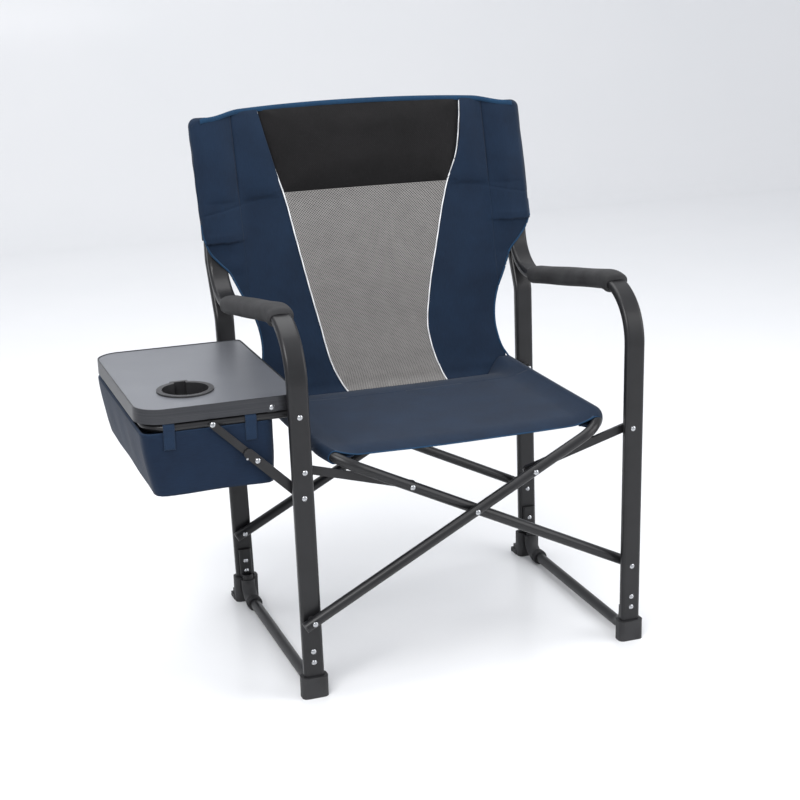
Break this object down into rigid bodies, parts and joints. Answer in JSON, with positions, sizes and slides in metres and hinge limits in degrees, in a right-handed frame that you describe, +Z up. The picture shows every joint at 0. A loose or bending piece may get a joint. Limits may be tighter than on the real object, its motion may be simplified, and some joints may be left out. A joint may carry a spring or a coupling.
{
  "type": "folding camp chair",
  "caption": "Folding director-style camp chair with padded sling back, tubular cross frame, foam armrests, fold-down side table with cup holder and a cooler bag hung below it.",
  "frame": {"origin": "floor level, at the middle of the chair's footprint box, table included", "axes": "+Z up, +Y from the front feet to the back, +X away from the table"},
  "size_m": [0.903, 0.622, 0.9438],
  "materials": {
    "air_mesh": "perforated mesh",
    "arm_foam": "closed-cell foam, matte",
    "bag_cloth": "coated polyester with padded walls",
    "black_nylon": "matte",
    "cup_plastic": "matte moulded",
    "foot_rubber": "moulded, matte",
    "frame_black": "satin black powder coat",
    "headrest_cloth": "fine black weave",
    "navy_cloth": "coated polyester weave",
    "rivet": "bright zinc plate",
    "table_edge": "dark anodised",
    "table_top": "fine-grained laminate",
    "webbing": "woven webbing",
    "white_piping": "twisted cord"
  },
  "bodies": {
    "left_frame": {"side_tube_left": "frame_black", "rear_leg_left": "frame_black", "floor_rail_left": "frame_black", "front_foot_left": "foot_rubber", "rear_boot_left": "foot_rubber", "tube_plugs_left": "black_nylon", "arm_pad_left": "arm_foam", "frame_rivets_left": "rivet", "lower_pivots_left": "rivet", "link_pivots_left": "rivet", "pivot_spacers_left": "black_nylon", "table_pivots": "rivet", "brace_pivots": "rivet", "back_sling": "navy_cloth", "headrest_pad": "headrest_cloth", "mesh_panel": "air_mesh", "piping": "white_piping"},
    "cross_a": {"cross_tube_a": "frame_black", "cross_plugs_a": "black_nylon", "centre_pivots": "rivet", "centre_washers": "black_nylon", "link_studs_a": "rivet"},
    "cross_b": {"cross_tube_b": "frame_black", "cross_plugs_b": "black_nylon", "link_studs_b": "rivet", "seat_sling": "navy_cloth"},
    "right_frame": {"side_tube_right": "frame_black", "rear_leg_right": "frame_black", "floor_rail_right": "frame_black", "front_foot_right": "foot_rubber", "rear_boot_right": "foot_rubber", "tube_plugs_right": "black_nylon", "arm_pad_right": "arm_foam", "frame_rivets_right": "rivet", "lower_pivots_right": "rivet", "link_pivots_right": "rivet", "pivot_spacers_right": "black_nylon"},
    "links_a": {"link_front_a": "frame_black", "link_rear_a": "frame_black", "link_tails_a": "rivet"},
    "links_b": {"link_front_b": "frame_black", "link_rear_b": "frame_black", "link_tails_b": "rivet"},
    "table": {"table_board": "table_top", "table_band": "table_edge", "cup_holder": "cup_plastic", "table_loop": "frame_black", "table_brackets": "frame_black", "table_rivets": "rivet", "brace_studs": "rivet", "cooler_bag": "bag_cloth", "bag_tabs": "webbing"},
    "brace_lower": {"brace_lower_front": "frame_black", "brace_lower_rear": "frame_black", "brace_elbows": "rivet"},
    "brace_upper": {"brace_upper_front": "frame_black", "brace_upper_rear": "frame_black"}
  },
  "joints": [
    {"name": "fold", "type": "hinge", "parent": "left_frame", "child": "cross_a", "pos_m": [-0.18626, -0.28137, 0.143], "axis": [0, -1, 0], "range_deg": [0, 51.6], "deforming": ["seat_sling", "back_sling", "headrest_pad", "mesh_panel", "piping"]},
    {"name": "cross", "type": "hinge", "parent": "cross_a", "child": "cross_b", "pos_m": [0.11749, -0.28137, 0.29378], "axis": [0, -1, 0], "range_deg": [-103.21, 0]},
    {"name": "right_lower", "type": "hinge", "parent": "cross_b", "child": "right_frame", "pos_m": [0.42123, -0.28137, 0.143], "axis": [0, -1, 0], "range_deg": [0, 51.61]},
    {"name": "link_a_leg", "type": "hinge", "parent": "right_frame", "child": "links_a", "pos_m": [0.42123, -0.28137, 0.40381], "axis": [0, -1, 0], "range_deg": [-92.92, 0]},
    {"name": "link_b_leg", "type": "hinge", "parent": "left_frame", "child": "links_b", "pos_m": [-0.18626, -0.28137, 0.40381], "axis": [0, -1, 0], "range_deg": [0, 92.92]},
    {"name": "table_fold", "type": "hinge", "parent": "left_frame", "child": "table", "pos_m": [-0.19062, -0.28137, 0.4995], "axis": [0, -1, 0], "range_deg": [0, 85], "deforming": ["cooler_bag", "bag_tabs"]},
    {"name": "brace_leg", "type": "hinge", "parent": "left_frame", "child": "brace_lower", "pos_m": [-0.18891, -0.28137, 0.3596], "axis": [0, -1, 0], "range_deg": [0, 132.49]},
    {"name": "brace_loop", "type": "hinge", "parent": "table", "child": "brace_upper", "pos_m": [-0.33155, -0.28137, 0.4995], "axis": [0, -1, 0], "range_deg": [-124.5, 0]}
  ],
  "couplings": [
    {"joint": "cross", "follows": "fold", "ratio": -2},
    {"joint": "right_lower", "follows": "fold", "ratio": 1},
    {"joint": "link_a_leg", "follows": "fold", "ratio": -1.8006},
    {"joint": "link_b_leg", "follows": "fold", "ratio": 1.8006},
    {"joint": "brace_leg", "follows": "table_fold", "ratio": 1.5585},
    {"joint": "brace_loop", "follows": "table_fold", "ratio": -1.4646}
  ]
}
